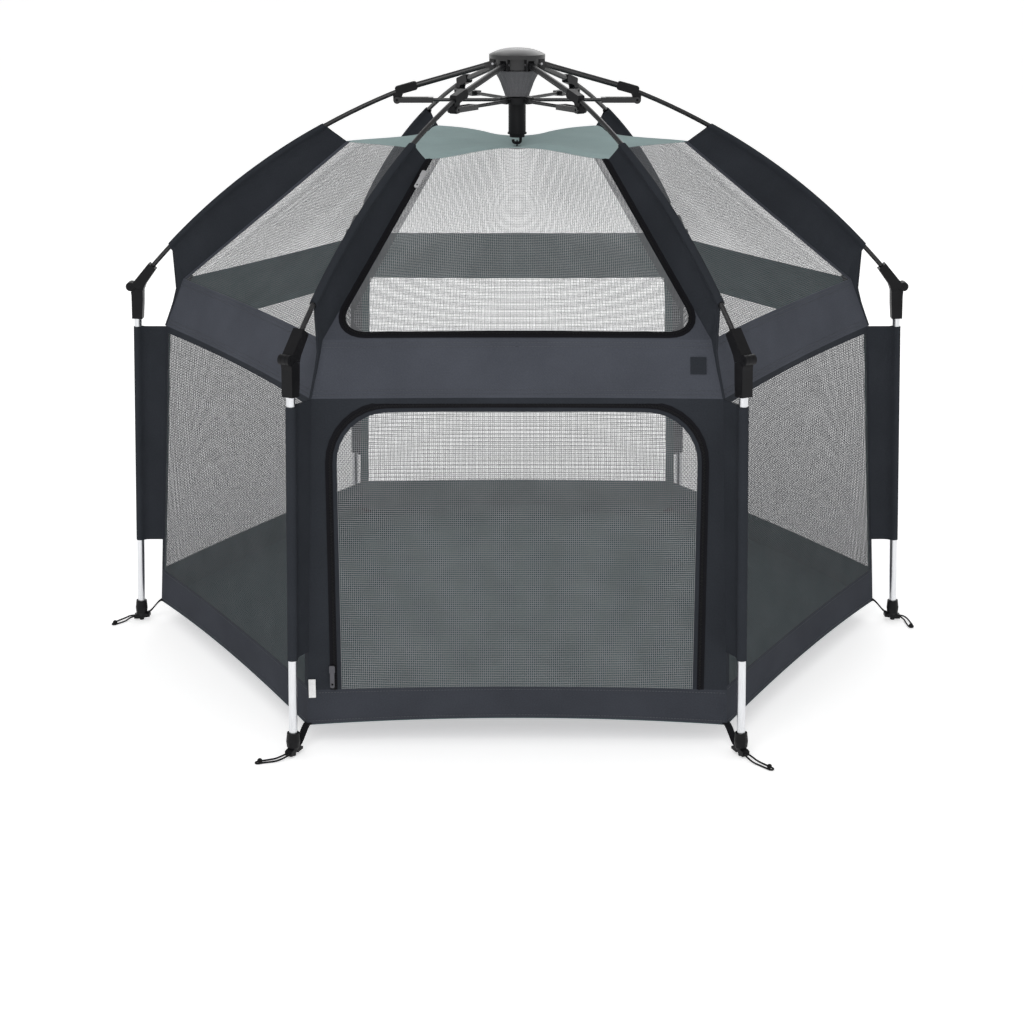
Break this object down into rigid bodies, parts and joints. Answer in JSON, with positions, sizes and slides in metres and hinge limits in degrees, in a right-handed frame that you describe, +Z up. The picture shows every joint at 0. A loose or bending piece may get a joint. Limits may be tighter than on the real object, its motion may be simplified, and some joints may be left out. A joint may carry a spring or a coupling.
{
  "type": "pop-up play yard",
  "caption": "Hexagonal pop-up play yard: hub frame with curved ribs, folding legs, mesh walls, canvas belt, floor and zip door.",
  "frame": {"origin": "on the ground, at the centre of the hexagon, below the hub", "axes": "+Z up, -Y towards the door side, +X towards the corner at the right of the door side"},
  "size_m": [1.4822, 1.3337, 1.038],
  "materials": {
    "canvas": "matte",
    "lining": "matte",
    "roof_fabric": "matte",
    "mesh": "matte",
    "black_plastic": "satin",
    "rib_black": "satin",
    "leg_aluminium": "satin",
    "pin_steel": "satin",
    "boot_grey": "matte",
    "cord": "matte",
    "zip_black": "gloss",
    "webbing": "matte",
    "label_white": "matte"
  },
  "bodies": {
    "crown": {"hub_ring": "black_plastic", "hub_pins": "pin_steel", "hub_cap": "black_plastic", "centre_shaft": "pin_steel", "shaft_hook": "black_plastic", "boot": "boot_grey"},
    "runner_group": {"runner": "black_plastic", "runner_pins": "pin_steel", "grip": "black_plastic"},
    "rib_group_1": {"rib_1": "rib_black", "rib_fittings_1": "black_plastic", "canopy_1": "canvas"},
    "strut_group_1": {"strut_1": "rib_black"},
    "leg_group_1": {"leg_tube_1": "leg_aluminium", "leg_fittings_1": "black_plastic", "ground_loop_1": "cord", "wall_1": "canvas"},
    "rib_group_2": {"rib_2": "rib_black", "rib_fittings_2": "black_plastic", "canopy_2": "canvas"},
    "strut_group_2": {"strut_2": "rib_black"},
    "leg_group_2": {"leg_tube_2": "leg_aluminium", "leg_fittings_2": "black_plastic", "ground_loop_2": "cord", "wall_2": "canvas"},
    "rib_group_3": {"rib_3": "rib_black", "rib_fittings_3": "black_plastic", "canopy_3": "canvas"},
    "strut_group_3": {"strut_3": "rib_black"},
    "leg_group_3": {"leg_tube_3": "leg_aluminium", "leg_fittings_3": "black_plastic", "ground_loop_3": "cord", "wall_3": "canvas"},
    "rib_group_4": {"rib_4": "rib_black", "rib_fittings_4": "black_plastic", "canopy_4": "canvas"},
    "strut_group_4": {"strut_4": "rib_black"},
    "leg_group_4": {"leg_tube_4": "leg_aluminium", "leg_fittings_4": "black_plastic", "ground_loop_4": "cord", "wall_4": "canvas"},
    "rib_group_5": {"rib_5": "rib_black", "rib_fittings_5": "black_plastic", "canopy_5": "canvas"},
    "strut_group_5": {"strut_5": "rib_black"},
    "leg_group_5": {"leg_tube_5": "leg_aluminium", "leg_fittings_5": "black_plastic", "ground_loop_5": "cord", "wall_5": "canvas"},
    "rib_group_6": {"rib_6": "rib_black", "rib_fittings_6": "black_plastic", "canopy_6": "canvas"},
    "strut_group_6": {"strut_6": "rib_black"},
    "leg_group_6": {"leg_tube_6": "leg_aluminium", "leg_fittings_6": "black_plastic", "ground_loop_6": "cord", "wall_6": "canvas"},
    "door_panel": {"door": "mesh"},
    "door_zip": {"door_slider": "zip_black"},
    "window_zip": {"window_slider": "zip_black"}
  },
  "joints": [
    {"name": "rib_1_fold", "type": "hinge", "parent": "crown", "child": "rib_group_1", "pos_m": [0.042, 0, 1.012], "axis": [0, 1, 0], "range_deg": [0, 58], "deforming": ["canopy_1"]},
    {"name": "rib_2_fold", "type": "hinge", "parent": "crown", "child": "rib_group_2", "pos_m": [0.021, 0.03637, 1.012], "axis": [-0.866, 0.5, 0], "range_deg": [0, 58], "deforming": ["canopy_2"]},
    {"name": "rib_3_fold", "type": "hinge", "parent": "crown", "child": "rib_group_3", "pos_m": [-0.021, 0.03637, 1.012], "axis": [-0.866, -0.5, 0], "range_deg": [0, 58], "deforming": ["canopy_3"]},
    {"name": "rib_4_fold", "type": "hinge", "parent": "crown", "child": "rib_group_4", "pos_m": [-0.042, 0, 1.012], "axis": [0, -1, 0], "range_deg": [0, 58], "deforming": ["canopy_4"]},
    {"name": "rib_5_fold", "type": "hinge", "parent": "crown", "child": "rib_group_5", "pos_m": [-0.021, -0.03637, 1.012], "axis": [0.866, -0.5, 0], "range_deg": [0, 58], "deforming": ["canopy_5"]},
    {"name": "rib_6_fold", "type": "hinge", "parent": "crown", "child": "rib_group_6", "pos_m": [0.021, -0.03637, 1.012], "axis": [0.866, 0.5, 0], "range_deg": [0, 58], "deforming": ["canopy_6"]},
    {"name": "runner_slide", "type": "slide", "parent": "crown", "child": "runner_group", "axis": [0, 0, 1], "range_m": [0, 0.0629], "deforming": ["boot"]},
    {"name": "strut_1_swing", "type": "hinge", "parent": "runner_group", "child": "strut_group_1", "pos_m": [0.025, 0, 0.951], "axis": [0, 1, 0], "range_deg": [0, 73.2]},
    {"name": "strut_2_swing", "type": "hinge", "parent": "runner_group", "child": "strut_group_2", "pos_m": [0.0125, 0.02165, 0.951], "axis": [-0.866, 0.5, 0], "range_deg": [0, 73.2]},
    {"name": "strut_3_swing", "type": "hinge", "parent": "runner_group", "child": "strut_group_3", "pos_m": [-0.0125, 0.02165, 0.951], "axis": [-0.866, -0.5, 0], "range_deg": [0, 73.2]},
    {"name": "strut_4_swing", "type": "hinge", "parent": "runner_group", "child": "strut_group_4", "pos_m": [-0.025, 0, 0.951], "axis": [0, -1, 0], "range_deg": [0, 73.2]},
    {"name": "strut_5_swing", "type": "hinge", "parent": "runner_group", "child": "strut_group_5", "pos_m": [-0.0125, -0.02165, 0.951], "axis": [0.866, -0.5, 0], "range_deg": [0, 73.2]},
    {"name": "strut_6_swing", "type": "hinge", "parent": "runner_group", "child": "strut_group_6", "pos_m": [0.0125, -0.02165, 0.951], "axis": [0.866, 0.5, 0], "range_deg": [0, 73.2]},
    {"name": "leg_1_fold", "type": "hinge", "parent": "rib_group_1", "child": "leg_group_1", "pos_m": [0.6823, 0, 0.628], "axis": [0, -1, 0], "range_deg": [0, 216], "deforming": ["wall_1"]},
    {"name": "leg_2_fold", "type": "hinge", "parent": "rib_group_2", "child": "leg_group_2", "pos_m": [0.34115, 0.59089, 0.628], "axis": [0.866, -0.5, 0], "range_deg": [0, 216], "deforming": ["wall_2"]},
    {"name": "leg_3_fold", "type": "hinge", "parent": "rib_group_3", "child": "leg_group_3", "pos_m": [-0.34115, 0.59089, 0.628], "axis": [0.866, 0.5, 0], "range_deg": [0, 216], "deforming": ["wall_3"]},
    {"name": "leg_4_fold", "type": "hinge", "parent": "rib_group_4", "child": "leg_group_4", "pos_m": [-0.6823, 0, 0.628], "axis": [0, 1, 0], "range_deg": [0, 216], "deforming": ["wall_4"]},
    {"name": "leg_5_fold", "type": "hinge", "parent": "rib_group_5", "child": "leg_group_5", "pos_m": [-0.34115, -0.59089, 0.628], "axis": [-0.866, 0.5, 0], "range_deg": [0, 216], "deforming": ["wall_5"]},
    {"name": "leg_6_fold", "type": "hinge", "parent": "rib_group_6", "child": "leg_group_6", "pos_m": [0.34115, -0.59089, 0.628], "axis": [-0.866, -0.5, 0], "range_deg": [0, 216], "deforming": ["wall_6"]},
    {"name": "door_drop", "type": "hinge", "parent": "leg_group_5", "child": "door_panel", "pos_m": [0, -0.56903, 0.0939], "axis": [1, 0, 0], "range_deg": [0, 100], "deforming": ["door"]},
    {"name": "door_slider_run", "type": "slide", "parent": "leg_group_5", "child": "door_zip", "axis": [0, 0.0599, 0.9982], "range_m": [0, 0.32]},
    {"name": "window_slider_run", "type": "slide", "parent": "rib_group_5", "child": "window_zip", "axis": [-0.3877, -0.6715, -0.6315], "range_m": [0, 0.3]}
  ],
  "couplings": [
    {"joint": "rib_2_fold", "follows": "rib_1_fold", "ratio": 1},
    {"joint": "rib_3_fold", "follows": "rib_1_fold", "ratio": 1},
    {"joint": "rib_4_fold", "follows": "rib_1_fold", "ratio": 1},
    {"joint": "rib_5_fold", "follows": "rib_1_fold", "ratio": 1},
    {"joint": "rib_6_fold", "follows": "rib_1_fold", "ratio": 1},
    {"joint": "runner_slide", "follows": "rib_1_fold", "m_per_rad": 0.062136},
    {"joint": "strut_1_swing", "follows": "rib_1_fold", "ratio": 1.2621},
    {"joint": "strut_2_swing", "follows": "rib_1_fold", "ratio": 1.2621},
    {"joint": "strut_3_swing", "follows": "rib_1_fold", "ratio": 1.2621},
    {"joint": "strut_4_swing", "follows": "rib_1_fold", "ratio": 1.2621},
    {"joint": "strut_5_swing", "follows": "rib_1_fold", "ratio": 1.2621},
    {"joint": "strut_6_swing", "follows": "rib_1_fold", "ratio": 1.2621},
    {"joint": "leg_1_fold", "follows": "rib_1_fold", "ratio": 3.7241},
    {"joint": "leg_2_fold", "follows": "rib_1_fold", "ratio": 3.7241},
    {"joint": "leg_3_fold", "follows": "rib_1_fold", "ratio": 3.7241},
    {"joint": "leg_4_fold", "follows": "rib_1_fold", "ratio": 3.7241},
    {"joint": "leg_5_fold", "follows": "rib_1_fold", "ratio": 3.7241},
    {"joint": "leg_6_fold", "follows": "rib_1_fold", "ratio": 3.7241}
  ]
}
